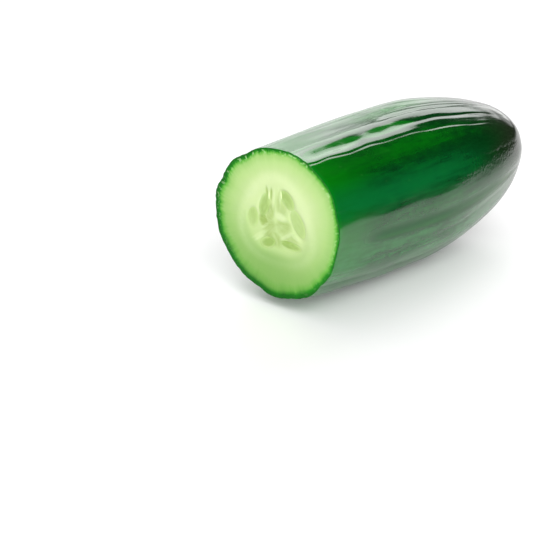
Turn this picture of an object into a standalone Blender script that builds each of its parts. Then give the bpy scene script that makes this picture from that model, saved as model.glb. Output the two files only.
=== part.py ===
"""Half a cucumber, cut square across and lying on its belly.

Metres, +Z up. X runs from the cut face to the stalk end, Z is up, and the origin is
on the surface that the half lies on, under the middle of its box.
"""

import math

import bmesh
import bpy

MM = 0.001
TURN = 2.0 * math.pi

# Length and thickness
LENGTH = 98.5 * MM
BELLY_RADIUS = 25.0 * MM
BELLY_FROM_CUT = 51.0 * MM
CUT_RADIUS = 22.5 * MM
END_TAPER = 1.8
END_ROUNDNESS = 2.17

# The gentle bend: sideways from the cut on, and up at both ends
SWAY_RADIUS = 370.0 * MM
LIFT_RADIUS = 455.0 * MM
LOWEST_FROM_CUT = 40.0 * MM

# The section: three lobes for its three seed chambers, a slight oval, and ribs
LOBES = 0.017
LOBES_AT = math.radians(9.4)
OVAL = 0.024
OVAL_AT = math.radians(-41.3)
RIB_COUNT = 11
RIB_HEIGHT = 0.36 * MM
RIB_FAINT = 0.55
RIB_GROWS = 22.0 * MM
RIBS_AT = math.radians(76.6)
RIB_WANDER = 0.35
RIB_WAVE = 38.0 * MM
RIB_SWELL = 0.35
SWELL_WAVE = 24.0 * MM

# The cut face: a soft core, sunk a little, with seeds hollowed a little deeper
CORE_RADIUS = 12.0 * MM
CORE_EDGE = 1.6 * MM
CORE_DEPTH = 0.30 * MM
CORE_LOBES = 0.08
SEED_DEPTH = 0.55 * MM
# Each seed's middle across and up from the centre, its length, width and turn in degrees
SEEDS = (
    (8.6, 0.1, 6.4, 4.2, 100),
    (3.9, 5.8, 8.6, 4.2, 108),
    (-3.7, 8.0, 6.4, 4.4, 50),
    (-7.9, 1.9, 7.2, 4.6, 61),
    (-5.2, -5.4, 7.2, 3.2, 1),
    (2.8, -6.5, 5.2, 3.8, 161),
)

# The stalk end: a shallow dimple round the dry scar of the stalk
DIMPLE_RADIUS = 5.4 * MM
DIMPLE_DEPTH = 1.1 * MM
SCAR_RADIUS = 3.0 * MM
SCAR_HEIGHT = 0.6 * MM
SCAR_RINGS = (4.3 * MM, 3.5 * MM, SCAR_RADIUS, 1.5 * MM)

# The flat spot it rests on, deep enough to reach well round its weight
REST_DEPTH = 1.00 * MM

# Fineness
COLUMNS = 6 * RIB_COUNT
SIDE_RINGS = 14
END_RINGS = 15
CORE_RINGS = 13
RIM_RINGS = 4


def clear_scene():
    for thing in list(bpy.data.objects):
        bpy.data.objects.remove(thing, do_unlink=True)


def blend(low, high, value):
    """Goes smoothly from 0 at low to 1 at high."""
    part = min(max((value - low) / (high - low), 0.0), 1.0)
    return part * part * (3.0 - 2.0 * part)


def side_radius(height):
    """Outer radius at a height above the cut, up to the belly."""
    away = (BELLY_FROM_CUT - height) / BELLY_FROM_CUT
    return BELLY_RADIUS - (BELLY_RADIUS - CUT_RADIUS) * away * away


def end_height(radius):
    """Height above the cut where the rounded end has this radius."""
    share = (1.0 - (radius / BELLY_RADIUS) ** END_ROUNDNESS) ** (1.0 / END_TAPER)
    return BELLY_FROM_CUT + (LENGTH - BELLY_FROM_CUT) * share


def stalk_dip(radius):
    """How far the stalk end sinks: a dimple with the scar standing in it."""
    if radius >= DIMPLE_RADIUS:
        return 0.0
    share = radius / DIMPLE_RADIUS
    dip = DIMPLE_DEPTH * (1.0 - share * share) ** 2
    return dip - SCAR_HEIGHT if radius <= SCAR_RADIUS else dip


def end_profile():
    """The rounded stalk end, from the middle of the scar out to the belly."""
    points = [(0.0, LENGTH - stalk_dip(0.0))]
    for radius in reversed(SCAR_RINGS):
        points.append((radius, end_height(radius) - stalk_dip(radius)))
    first = math.acos((DIMPLE_RADIUS / BELLY_RADIUS) ** (0.5 * END_ROUNDNESS))
    for step in range(END_RINGS):
        lean = first * (1.0 - step / END_RINGS)
        radius = BELLY_RADIUS * math.cos(lean) ** (2.0 / END_ROUNDNESS)
        points.append((radius, end_height(radius)))
    return points


def side_profile():
    """From the belly down to the rim of the cut."""
    heights = [BELLY_FROM_CUT * (1.0 - step / SIDE_RINGS) for step in range(SIDE_RINGS + 1)]
    return [(side_radius(height), height) for height in heights]


def cut_profile():
    """From the rim in to the middle of the cut face."""
    core = CORE_RADIUS + CORE_EDGE
    wide = [CUT_RADIUS + (core - CUT_RADIUS) * step / RIM_RINGS for step in range(1, RIM_RINGS + 1)]
    fine = [core * (1.0 - step / CORE_RINGS) for step in range(1, CORE_RINGS + 1)]
    return [(radius, 0.0) for radius in wide + fine]


def turned_blank():
    """A plain round half cucumber standing on its cut, turned from a profile."""
    profile = end_profile() + side_profile() + cut_profile()
    mesh = bpy.data.meshes.new("profile")
    points = [(radius, 0.0, height) for radius, height in profile]
    mesh.from_pydata(points, [(i, i + 1) for i in range(len(points) - 1)], [])
    stand = bpy.data.objects.new("profile", mesh)
    bpy.context.scene.collection.objects.link(stand)
    screw = stand.modifiers.new("turn", "SCREW")
    screw.axis = "Z"
    screw.angle = TURN
    screw.steps = COLUMNS
    screw.render_steps = COLUMNS
    screw.use_merge_vertices = True
    screw.merge_threshold = 0.01 * MM
    turned = bpy.data.meshes.new_from_object(stand.evaluated_get(bpy.context.evaluated_depsgraph_get()))
    bpy.data.objects.remove(stand, do_unlink=True)
    bpy.data.meshes.remove(mesh)
    return turned


def section(angle):
    """How much wider or narrower than round the cucumber is on this side."""
    lobes = LOBES * math.cos(3.0 * (angle - LOBES_AT))
    oval = OVAL * math.cos(2.0 * (angle - OVAL_AT))
    return 1.0 + lobes + oval


def rib(angle, height):
    """The ribs run from end to end, wander a little, and swell and sink along the way."""
    wander = RIB_WANDER * math.sin(TURN * height / RIB_WAVE + 2.0 * angle)
    crest = math.cos(RIB_COUNT * (angle - RIBS_AT) + wander)
    swell = 1.0 + RIB_SWELL * math.sin(TURN * height / SWELL_WAVE + 3.0 * angle)
    strong = blend(0.0, RIB_GROWS, height) * (1.0 - blend(0.80 * LENGTH, LENGTH, height))
    return RIB_HEIGHT * crest * swell * (RIB_FAINT + (1.0 - RIB_FAINT) * strong)


def seed_hollow(across, up):
    """How deep the seeds' hollows are at a place on the cut face."""
    deepest = 0.0
    for seed_across, seed_up, length, width, turn in SEEDS:
        lean = math.radians(turn)
        over_y = across - seed_across * MM
        over_z = up - seed_up * MM
        along = (over_y * math.cos(lean) + over_z * math.sin(lean)) / (0.5 * length * MM)
        beside = (over_z * math.cos(lean) - over_y * math.sin(lean)) / (0.5 * width * MM)
        deepest = max(deepest, 1.0 - blend(0.45, 1.25, math.hypot(along, beside)))
    return SEED_DEPTH * deepest


def core_hollow(across, up):
    """How deep the soft core is sunk at a place on the cut face."""
    angle = math.atan2(up, across)
    edge = CORE_RADIUS * (1.0 + CORE_LOBES * math.cos(3.0 * (angle - 0.5 * math.pi)))
    return CORE_DEPTH * (1.0 - blend(edge - CORE_EDGE, edge, math.hypot(across, up)))


def laid_down(point):
    """Takes a point of the standing blank to its place on the lying cucumber."""
    height = point.z
    flat_radius = math.hypot(point.x, point.y)
    angle = math.atan2(point.y, point.x)
    outer = side_radius(height) if height < BELLY_FROM_CUT else BELLY_RADIUS
    ribbed = rib(angle, height) * min(flat_radius / outer, 1.0) ** 2
    radius = flat_radius * section(angle) + ribbed if flat_radius > 0.0 else 0.0
    across = radius * math.cos(angle)
    up = radius * math.sin(angle)
    if height < 0.001 * MM and flat_radius < CUT_RADIUS - 0.5 * MM:
        height = core_hollow(across, up) + seed_hollow(across, up)
    sway = -point.z**2 / (2.0 * SWAY_RADIUS)
    lift = (point.z - LOWEST_FROM_CUT) ** 2 / (2.0 * LIFT_RADIUS)
    return (height, across + sway, up + lift)


def flatten_rest(form):
    """Slices a thin sliver off the lowest place and closes it with one flat face."""
    level = min(vert.co.z for vert in form.verts) + REST_DEPTH
    everything = form.verts[:] + form.edges[:] + form.faces[:]
    bmesh.ops.bisect_plane(
        form, geom=everything, dist=0.001 * MM, plane_co=(0, 0, level), plane_no=(0, 0, -1), clear_outer=True
    )
    rim = [edge for edge in form.edges if edge.is_boundary]
    bmesh.ops.holes_fill(form, edges=rim, sides=len(rim))


def centre_on_origin(form):
    """Moves the form so that the origin is at the bottom centre of its box."""
    lows = [min(vert.co[axis] for vert in form.verts) for axis in range(3)]
    highs = [max(vert.co[axis] for vert in form.verts) for axis in range(3)]
    shift = (-(lows[0] + highs[0]) / 2.0, -(lows[1] + highs[1]) / 2.0, -lows[2])
    bmesh.ops.translate(form, verts=form.verts[:], vec=shift)
    print("box", [round((high - low) / MM, 2) for low, high in zip(lows, highs)], "mm")
    lift = LOWEST_FROM_CUT**2 / (2.0 * LIFT_RADIUS)
    middle = (shift[0], shift[1], shift[2] + lift)
    print("middle of the cut face", [round(value / MM, 3) for value in middle], "mm")


def plain_material(name, colour, roughness):
    material = bpy.data.materials.new(name)
    material.use_nodes = True
    shader = material.node_tree.nodes["Principled BSDF"]
    shader.inputs["Base Color"].default_value = (*colour, 1.0)
    shader.inputs["Roughness"].default_value = roughness
    shader.inputs["Metallic"].default_value = 0.0
    material.diffuse_color = (*colour, 1.0)
    return material


def paint_cut(mesh):
    """Gives the skin its green and the cut face its pale flesh."""
    mesh.materials.append(plain_material("skin", (0.012, 0.11, 0.016), 0.28))
    mesh.materials.append(plain_material("flesh", (0.62, 0.80, 0.38), 0.35))
    cut = min(vert.co.x for vert in mesh.vertices) + CORE_DEPTH + SEED_DEPTH
    for face in mesh.polygons:
        face.material_index = 1 if face.normal.x < -0.5 and face.center.x < cut else 0


def build_cucumber(collection):
    mesh = turned_blank()
    mesh.name = "cucumber"
    form = bmesh.new()
    form.from_mesh(mesh)
    for vert in form.verts:
        vert.co = laid_down(vert.co)
    flatten_rest(form)
    centre_on_origin(form)
    form.to_mesh(mesh)
    form.free()
    mesh.materials.clear()
    paint_cut(mesh)
    mesh.shade_smooth()
    mesh.set_sharp_from_angle(angle=math.radians(40.0))
    cucumber = bpy.data.objects.new("cucumber", mesh)
    collection.objects.link(cucumber)
    print("triangles", sum(len(face.vertices) - 2 for face in mesh.polygons))


clear_scene()
group = bpy.data.collections.new("cucumber")
bpy.context.scene.collection.children.link(group)
build_cucumber(group)
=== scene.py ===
# %% [markdown]
# # Half a cucumber on a white table
# This notebook dresses a measured solid, half a cucumber lying on its belly with its cut end to the
# left. The solid gives every place and size. Here it gets a camera, a table and soft light, then
# its peel, its moist cut flesh, its seeds and the dry scar of its stalk. The solid is loaded first.
# Nothing may grow out of it.

import math

import bpy
import numpy as np
from mathutils import Matrix, Vector, noise
from mathutils.kdtree import KDTree


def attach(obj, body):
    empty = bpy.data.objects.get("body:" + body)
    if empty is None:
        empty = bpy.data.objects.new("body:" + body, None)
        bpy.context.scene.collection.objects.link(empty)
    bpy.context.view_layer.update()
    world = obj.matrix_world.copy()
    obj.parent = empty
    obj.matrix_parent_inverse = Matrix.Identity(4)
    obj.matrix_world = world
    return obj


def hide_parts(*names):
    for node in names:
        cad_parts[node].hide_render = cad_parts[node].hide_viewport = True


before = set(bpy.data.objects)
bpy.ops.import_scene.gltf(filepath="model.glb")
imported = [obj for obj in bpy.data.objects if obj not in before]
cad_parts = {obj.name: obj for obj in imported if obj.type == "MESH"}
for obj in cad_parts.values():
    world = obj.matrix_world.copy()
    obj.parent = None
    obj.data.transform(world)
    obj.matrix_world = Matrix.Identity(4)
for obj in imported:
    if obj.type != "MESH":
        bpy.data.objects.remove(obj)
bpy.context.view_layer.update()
MM = 0.001

# %% [markdown]
# ## The camera
# A photograph of food is taken from far enough away that nothing looks swollen, so the
# lens is long. The camera stands 425 mm from the middle of the picture and looks down at
# 24 degrees, towards the cut face and along the body. Its turn is worked out from an aim
# point, which is easier to change than angles.

# %% The camera
CAMERA_PLACE = Vector((-325.0, -227.7, 173.7)) * MM
CAMERA_AIM = Vector((-28.78, 22.26, -0.6)) * MM
CAMERA_LENS = 92.38

bpy.ops.object.camera_add(location=CAMERA_PLACE)
camera = bpy.context.object
camera.name = "camera"
camera.rotation_euler = (CAMERA_AIM - CAMERA_PLACE).to_track_quat("-Z", "Y").to_euler()
camera.data.lens = CAMERA_LENS
bpy.context.scene.camera = camera
print("camera distance", round((CAMERA_AIM - CAMERA_PLACE).length / MM), "mm")

# %% [markdown]
# ## Table and light
# A glossy dark peel shows mostly what it mirrors. Seen from here the top of the body
# mirrors what stands behind it, its flank mirrors what stands to the right, and its
# belly mirrors the table. The table is white and ends 28 cm to the right of the body, so
# the flank mirrors the dark room just above the table's edge and stays deep green.

# %% The table
TABLE_SIZE = 4.0
TABLE_TURN = math.radians(-50.0)
TABLE_EDGE = 0.28

to_middle = TABLE_EDGE - 0.5 * TABLE_SIZE
bpy.ops.object.select_all(action="DESELECT")
bpy.ops.mesh.primitive_plane_add(
    size=TABLE_SIZE,
    location=(to_middle * math.cos(TABLE_TURN), to_middle * math.sin(TABLE_TURN), 0.0),
    rotation=(0.0, 0.0, TABLE_TURN),
)
table_top = bpy.context.object
table_top.name = "table_top"
print("table", TABLE_SIZE, "m wide")

# %% [markdown]
# The lights could be points or a sky picture, but soft boxes are what a food studio has,
# and a peel mirrors their straight edges. A bright window and a dimmer screen below it
# stand behind the body. The dark gap between them shows in the furrows as thin dark
# lines. Four smaller screens stand where the far end looks, and one of them draws the
# bright line at its edge. A large light overhead makes the table so bright that only the
# shadow next to the body shows, and a strong one in front lights the cut face.

# %% Soft lights
# Each soft box's name, its place, the place it faces, its width and its height, all in
# metres, and its brightness
SOFT_BOXES = (
    ("top_light", (-0.20, 0.20, 1.15), (0.0, 0.0, 0.0), 1.7, 1.7, 1.0),
    ("back_window", (0.878, 0.479, 0.84), (0.0, 0.0, 0.84), 1.02, 0.70, 3.6),
    ("back_screen", (0.855, 0.77, 0.195), (0.0, 0.0, 0.195), 1.4, 0.37, 1.7),
    ("corner_screen", (0.782, 0.725, 0.44), (0.0, 0.0, 0.44), 0.19, 0.13, 1.7),
    ("end_screen", (1.107, 0.200, 0.387), (0.0, 0.0, 0.387), 0.32, 0.17, 2.4),
    ("low_screen", (1.107, 0.200, 0.15), (0.0, 0.0, 0.15), 0.32, 0.26, 0.8),
    ("edge_screen", (1.11, -0.011, 0.70), (0.0, 0.0, 0.70), 0.082, 0.377, 3.2),
    ("side_fill", (-0.95, 0.1, 0.45), (-0.05, 0.0, 0.02), 0.7, 0.7, 0.9),
    ("front_fill", (-0.45, -0.70, 0.75), (0.0, 0.0, 0.0), 0.9, 0.7, 5.0),
)


def soft_light(name, place, aim, wide, high, brightness):
    """Adds a soft box of an even brightness, which faces the place that it aims at."""
    bpy.ops.object.light_add(type="AREA", location=place)
    light = bpy.context.object
    light.name = name
    light.data.shape = "RECTANGLE"
    light.data.size = wide
    light.data.size_y = high
    light.data.energy = brightness * math.pi * wide * high
    light.rotation_euler = (Vector(aim) - Vector(place)).to_track_quat("-Z", "Y").to_euler()
    print(name, round(light.data.energy, 1), "W")


for soft_box in SOFT_BOXES:
    soft_light(*soft_box)

# %% The room
ROOM_BRIGHTNESS = 0.012

world = bpy.data.worlds.new("room")
world.use_nodes = True
backdrop = world.node_tree.nodes["Background"]
backdrop.inputs["Color"].default_value = (1.0, 1.0, 1.0, 1.0)
# The camera sees a white backdrop, while the body mirrors a dark room
ray_kind = world.node_tree.nodes.new("ShaderNodeLightPath")
strength = world.node_tree.nodes.new("ShaderNodeMath")
strength.operation = "ADD"
strength.inputs[1].default_value = ROOM_BRIGHTNESS
world.node_tree.links.new(ray_kind.outputs["Is Camera Ray"], strength.inputs[0])
world.node_tree.links.new(strength.outputs[0], backdrop.inputs["Strength"])
bpy.context.scene.world = world
bpy.context.scene.view_settings.view_transform = "Standard"
print("room brightness", ROOM_BRIGHTNESS)

# %% [markdown]
# ## The form of the cucumber
# A cucumber grows round a straight line, then bends a little. So the peel, the flesh and
# the scar are first turned on a lathe, standing on the cut, and afterwards laid down: the
# section is made slightly three-lobed and oval, the ribs are raised, and the form is bent
# sideways and upwards. It could be sculpted, but these are the measured solid's own sizes
# and formulas, so the pieces fit it.

# %% Length, thickness and bend
LENGTH = 98.5 * MM
BELLY_RADIUS = 25.0 * MM
BELLY_FROM_CUT = 51.0 * MM
CUT_RADIUS = 22.5 * MM
END_TAPER = 1.8
END_ROUNDNESS = 2.17
SWAY_RADIUS = 370.0 * MM
LIFT_RADIUS = 455.0 * MM
LOWEST_FROM_CUT = 40.0 * MM
CUT_MIDDLE = (-49.154 * MM, 2.843 * MM, 26.231 * MM)

# %% Lobes and ribs
LOBES = 0.017
LOBES_AT = math.radians(9.4)
OVAL = 0.024
OVAL_AT = math.radians(-41.3)
RIB_COUNT = 11
RIB_HEIGHT = 0.36 * MM
RIB_FAINT = 0.55
RIB_GROWS = 22.0 * MM
RIBS_AT = math.radians(76.6)
RIB_WANDER = 0.35
RIB_WAVE = 38.0 * MM
RIB_SWELL = 0.35
SWELL_WAVE = 24.0 * MM
END_FROM = 0.80 * LENGTH


# %% Where the ribs rise
def blend(low, high, value):
    """Goes smoothly from 0 at low to 1 at high."""
    part = np.clip((value - low) / (high - low), 0.0, 1.0)
    return part * part * (3.0 - 2.0 * part)


def rib_rise(angle, height):
    """How far the main ribs stand out. They swell and sink along the way."""
    wander = RIB_WANDER * np.sin(math.tau * height / RIB_WAVE + 2.0 * angle)
    crest = np.cos(RIB_COUNT * (angle - RIBS_AT) + wander)
    swell = 1.0 + RIB_SWELL * np.sin(math.tau * height / SWELL_WAVE + 3.0 * angle)
    strong = blend(0.0, RIB_GROWS, height) * (1.0 - blend(END_FROM, LENGTH, height))
    return RIB_HEIGHT * crest * swell * (RIB_FAINT + (1.0 - RIB_FAINT) * strong)


# %% [markdown]
# ## Furrows and fine ridges
# Seen closely, the ribs are low and the furrows between them are narrow creases, which
# start and stop, and lean over to one side as they run together at the stalk end. They
# draw the thin bright and dark lines along a real cucumber. A bump map could draw them,
# but real dents bend the mirrored window rightly from every side. Between them the skin
# has fine uneven ridges, and right at the cut its edge is a little ragged.

# %% Where the furrows run
# Each furrow's angle at the cut and 80 mm on, its depth in millimetres, the half widths
# of its two sides in degrees, and how many millimetres from the cut it starts and stops
FURROWS = (
    (-75.0, -73.0, 0.18, 3.0, 3.6, -20, 96),
    (-52.0, -55.0, 0.22, 2.6, 2.0, -20, 96),
    (-34.0, -31.0, 0.14, 1.6, 1.9, 12, 80),
    (-15.0, -16.0, 0.24, 2.6, 3.4, -20, 96),
    (4.0, 7.0, 0.16, 1.7, 1.7, -20, 70),
    (24.0, 22.0, 0.24, 3.0, 2.4, -20, 96),
    (43.0, 46.0, 0.16, 1.6, 2.2, 20, 96),
    (60.0, 60.0, 0.16, 3.0, 2.6, -20, 96),
    (82.0, 83.0, 0.07, 2.4, 2.4, -20, 96),
    (99.0, 99.0, 0.20, 4.0, 3.5, 15, 38),
    (105.0, 107.0, 0.10, 1.8, 1.8, -20, 9),
    (107.5, 100.5, 0.14, 2.0, 1.6, 38, 78),
    (96.0, 94.0, 0.08, 1.4, 1.4, 48, 92),
    (112.9, 112.9, 0.80, 5.9, 4.5, 3, 24),
    (113.4, 113.4, 0.72, 5.7, 4.5, 29, 44),
    (115.6, 113.9, 0.19, 2.0, 1.6, 43, 74),
    (119.3, 126.8, 0.10, 1.0, 0.8, -4, 71),
    (137.5, 146.0, 0.10, 2.0, 2.0, 8, 80),
    (157.0, 155.0, 0.05, 1.4, 1.4, 40, 90),
    (183.5, 190.5, 0.52, 4.8, 3.8, 16, 50),
    (184.0, 190.0, 0.46, 4.4, 3.6, 54, 84),
    (203.0, 200.0, 0.14, 2.0, 2.4, 10, 96),
    (222.0, 224.0, 0.18, 2.4, 2.8, -20, 96),
    (243.0, 240.0, 0.16, 1.8, 2.2, -20, 70),
    (262.0, 264.0, 0.20, 2.6, 2.6, 20, 96),
)
FURROWS_LEAN_TO = math.radians(155.0)
FURROW_LEAN = 0.40
LEAN_STARTS = 40.0 * MM
LEAN_ENDS = 90.0 * MM


def furrow_angle(angle, height):
    """The angle round the body, counted along the furrows as they lean over."""
    lean = FURROW_LEAN * blend(LEAN_STARTS, LEAN_ENDS, height)
    return angle - lean * np.sin(FURROWS_LEAN_TO - angle)


# %% How deep the furrows are
# Like the table above, these are in millimetres and degrees, but the swell is a share
FURROW_SPAN = 80.0
FURROW_WAVE = 8.0
FURROW_SWAY = 1.3
FURROW_SWELL = 0.3
CALM_DEPTH = 0.2
STARTS_OVER = (-6.0, 3.0)
STOPS_OVER = (-6.0, 7.0)


def furrow_depth(angle, height):
    """How deep the narrow furrows are pressed in. Each one sways a little and swells,
    and those past the calm depth do so less."""
    degrees = np.degrees(furrow_angle(angle, height))
    along = np.linspace(-5.0, 105.0, 221)
    depth = np.zeros(len(angle))
    for number, furrow_row in enumerate(FURROWS):
        first, last, deep, wide_before, wide_after, start, stop = furrow_row
        spots = [Vector((place / FURROW_WAVE, 7.3 * number, 0.0)) for place in along]
        wave = np.array([noise.noise(spot) for spot in spots])
        wave *= CALM_DEPTH / max(deep, CALM_DEPTH)
        started = blend(start + STARTS_OVER[0], start + STARTS_OVER[1], along)
        stopped = blend(stop + STOPS_OVER[0], stop + STOPS_OVER[1], along)
        strong = started * (1.0 - stopped)
        line = first + (last - first) * along / FURROW_SPAN + FURROW_SWAY * wave[::-1]
        off = degrees - np.interp(height / MM, along, line)
        off = (off + 180.0) % 360.0 - 180.0
        here = np.interp(height / MM, along, strong * (1.0 + FURROW_SWELL * wave))
        wide = np.where(off < 0.0, wide_before, wide_after)
        depth += deep * MM * here * np.exp(-((off / wide) ** 2))
    return depth


# %% Fine ridges and the ragged edge
FINE_RIDGE = 0.08 * MM
RAGGED = 0.16 * MM
RAGGED_REACH = 1.8 * MM
CALM_EDGE_AT = math.radians(165.0)


def uneven(angle, height, around, along, seed):
    """Noise from -1 to 1 with a number of waves round the body and along a metre."""
    return np.array([
        noise.noise(Vector((around * math.cos(turn), around * math.sin(turn), along * up + seed)))
        for turn, up in zip(angle, height)
    ])


def relief(angle, height):
    """The ribs, furrows and fine ridges of the finished peel."""
    leaning = furrow_angle(angle, height)
    fine = uneven(leaning, height, 8.0, 34.0, 0.0)
    fine = fine + 0.35 * uneven(leaning, height, 22.0, 80.0, 9.0)
    end = 1.0 - 0.7 * blend(END_FROM, LENGTH, height)
    ragged = uneven(angle, height, 16.0, 260.0, 4.0)
    ragged = ragged * (1.0 - blend(0.0, RAGGED_REACH, height))
    ragged *= 0.55 - 0.45 * np.cos(angle - CALM_EDGE_AT)
    ribs = (1.0 - 0.5 * blend(0.0, 20.0 * MM, height)) * rib_rise(angle, height)
    return ribs + end * (FINE_RIDGE * fine - furrow_depth(angle, height)) + RAGGED * ragged


# %% How a standing form is laid down
def side_radius(height):
    """The outer radius at a height above the cut, up to the belly."""
    away = np.clip((BELLY_FROM_CUT - height) / BELLY_FROM_CUT, 0.0, 1.0)
    return BELLY_RADIUS - (BELLY_RADIUS - CUT_RADIUS) * away * away


def laid_down(standing):
    """Takes points of a standing form to their places on the lying cucumber."""
    across, up, height = standing.T
    flat_radius = np.hypot(across, up)
    angle = np.arctan2(up, across)
    lobes = LOBES * np.cos(3.0 * (angle - LOBES_AT))
    oval = OVAL * np.cos(2.0 * (angle - OVAL_AT))
    share = np.minimum(flat_radius / side_radius(height), 1.0)
    radius = flat_radius * (1.0 + lobes + oval) + relief(angle, height) * share**2
    sway = height**2 / (2.0 * SWAY_RADIUS)
    lift = (height**2 - 2.0 * height * LOWEST_FROM_CUT) / (2.0 * LIFT_RADIUS)
    x = CUT_MIDDLE[0] + height
    y = CUT_MIDDLE[1] + radius * np.cos(angle) - sway
    z = CUT_MIDDLE[2] + radius * np.sin(angle) + lift
    return np.column_stack((x, y, z))


# %% The outer outline
DIMPLE_RADIUS = 5.4 * MM
DIMPLE_DEPTH = 1.1 * MM

lean = np.linspace(0.5 * math.pi, 0.0, 3000)
end_radius = BELLY_RADIUS * np.cos(lean) ** (2.0 / END_ROUNDNESS)
end_share = np.clip(1.0 - (end_radius / BELLY_RADIUS) ** END_ROUNDNESS, 0.0, 1.0)
end_share = end_share ** (1.0 / END_TAPER)
dimple = DIMPLE_DEPTH * np.clip(1.0 - (end_radius / DIMPLE_RADIUS) ** 2, 0.0, 1.0) ** 2
end_height = BELLY_FROM_CUT + (LENGTH - BELLY_FROM_CUT) * end_share - dimple
side_height = np.linspace(BELLY_FROM_CUT, 0.0, 1000)[1:]
outline = np.column_stack(
    (np.append(end_radius, side_radius(side_height)), np.append(end_height, side_height))
)
outline[0, 0] = 0.0
print("outline", len(outline), "points, widest", round(2.0 * outline[:, 0].max() / MM, 2), "mm")


# %% Working on an outline
def even_steps(line, step):
    """Picks points at even steps along a line, and keeps both of its ends."""
    along = np.append(0.0, np.cumsum(np.linalg.norm(np.diff(line, axis=0), axis=1)))
    count = max(round(along[-1] / step), 1)
    places = np.linspace(0.0, along[-1], count + 1)
    return np.column_stack([np.interp(places, along, line[:, axis]) for axis in range(2)])


def moved_in(line, depth):
    """The same outline at a depth under the surface."""
    slope = np.gradient(line, axis=0)
    slope /= np.linalg.norm(slope, axis=1)[:, None]
    inner = line + depth * np.column_stack((slope[:, 1], -slope[:, 0]))
    inner[:, 0] = np.maximum(inner[:, 0], 0.0)
    inner[:, 1] = np.maximum(inner[:, 1], 0.0)
    inner[0, 0] = 0.0
    return inner


# %% [markdown]
# ## Turning a form on the lathe
# The outline is drawn as a chain of points, each extruded from the one before, and spun
# once round the standing axis. A Screw modifier could do the same, but the operators
# show each step. The doubled points at the seam and at both poles are merged, and the
# faces are told to look outwards.

# %% The lathe
COLUMNS = 264
PEEL_COLUMNS = 528
SAME_POINT = 0.002 * MM


def start_edit(piece):
    """Selects one piece alone and opens it for editing, with all of it selected."""
    bpy.ops.object.select_all(action="DESELECT")
    piece.select_set(True)
    bpy.context.view_layer.objects.active = piece
    bpy.ops.object.mode_set(mode="EDIT")
    bpy.ops.mesh.select_all(action="SELECT")


def end_edit():
    bpy.ops.object.mode_set(mode="OBJECT")


def turned(name, profile, columns=COLUMNS):
    """Turns a profile of (radius, height) pairs once round the standing axis."""
    bpy.ops.object.select_all(action="DESELECT")
    bpy.ops.mesh.primitive_circle_add(vertices=3, radius=1.0 * MM)
    piece = bpy.context.object
    piece.name = name
    start_edit(piece)
    bpy.ops.mesh.merge(type="CENTER")
    places = [Vector((radius, 0.0, height)) for radius, height in profile]
    bpy.ops.transform.translate(value=places[0])
    for before, after in zip(places, places[1:]):
        bpy.ops.mesh.extrude_vertices_move(TRANSFORM_OT_translate={"value": after - before})
    bpy.ops.mesh.select_all(action="SELECT")
    bpy.ops.mesh.spin(
        steps=columns, angle=math.tau, center=(0.0, 0.0, 0.0), axis=(0.0, 0.0, 1.0)
    )
    bpy.ops.mesh.select_all(action="SELECT")
    bpy.ops.mesh.remove_doubles(threshold=SAME_POINT)
    bpy.ops.mesh.normals_make_consistent(inside=False)
    end_edit()
    print(name, len(piece.data.vertices), "points turned")
    return piece


# %% Reading and writing a mesh's points
def points_of(piece):
    places = np.empty(len(piece.data.vertices) * 3)
    piece.data.vertices.foreach_get("co", places)
    return places.reshape(-1, 3)


def move_points(piece, places):
    piece.data.vertices.foreach_set("co", places.ravel())
    piece.data.update()


def keep_on_points(piece, **layers):
    """Stores numbers or places on every point, for the finishes to read."""
    for name, values in layers.items():
        kind = "FLOAT_VECTOR" if values.ndim == 2 else "FLOAT"
        stored = piece.data.attributes.new(name, kind, "POINT")
        stored.data.foreach_set("vector" if values.ndim == 2 else "value", values.ravel())


def print_triangles(piece):
    count = sum(len(face.vertices) - 2 for face in piece.data.polygons)
    print(piece.name, count, "triangles")


# %% Resting on the table
SOFT_TOUCH = 0.3 * MM


def rest_on_table(places, under_skin):
    """Presses the belly softly flat where it would sink into the table. A point under
    the skin stays as far above the table as it lies under the skin."""
    low = places[:, 2] - under_skin
    pressed = (low + SOFT_TOUCH) ** 2 / (4.0 * SOFT_TOUCH)
    touching = np.where(low > -SOFT_TOUCH, pressed, 0.0)
    places[:, 2] = under_skin + np.where(low > SOFT_TOUCH, low, touching)
    return places


# %% [markdown]
# ## The peel
# The peel of a cucumber is a thin, tough skin, about a fifth of a millimetre thick. The
# cut shows its edge as a fine dark line round the flesh. It could be a surface with a
# Solidify modifier, but its edge is what shows most, so it is turned as a closed shell:
# down the outside, over the slightly rounded knife edge, and back up the inside.

# %% The peel's shell
PEEL_THICKNESS = 0.22 * MM
PEEL_STEP = 0.95 * MM
HIDDEN_STEP = 4.0 * MM
KNIFE_EDGE = 0.02 * MM

outside = even_steps(outline, PEEL_STEP)[:-1]
knife_edge = [
    (side_radius(0.22 * MM), 0.22 * MM),
    (side_radius(0.06 * MM), 0.06 * MM),
    (CUT_RADIUS, KNIFE_EDGE),
    (CUT_RADIUS - 0.3 * KNIFE_EDGE, 0.3 * KNIFE_EDGE),
    (CUT_RADIUS - KNIFE_EDGE, 0.0),
    (CUT_RADIUS - 0.5 * PEEL_THICKNESS, 0.0),
]
inside = even_steps(moved_in(outline, PEEL_THICKNESS), HIDDEN_STEP)[::-1]
inside[0] = (CUT_RADIUS - PEEL_THICKNESS, 0.0)
peel = turned("peel", np.vstack((outside, knife_edge, inside)), PEEL_COLUMNS)


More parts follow.
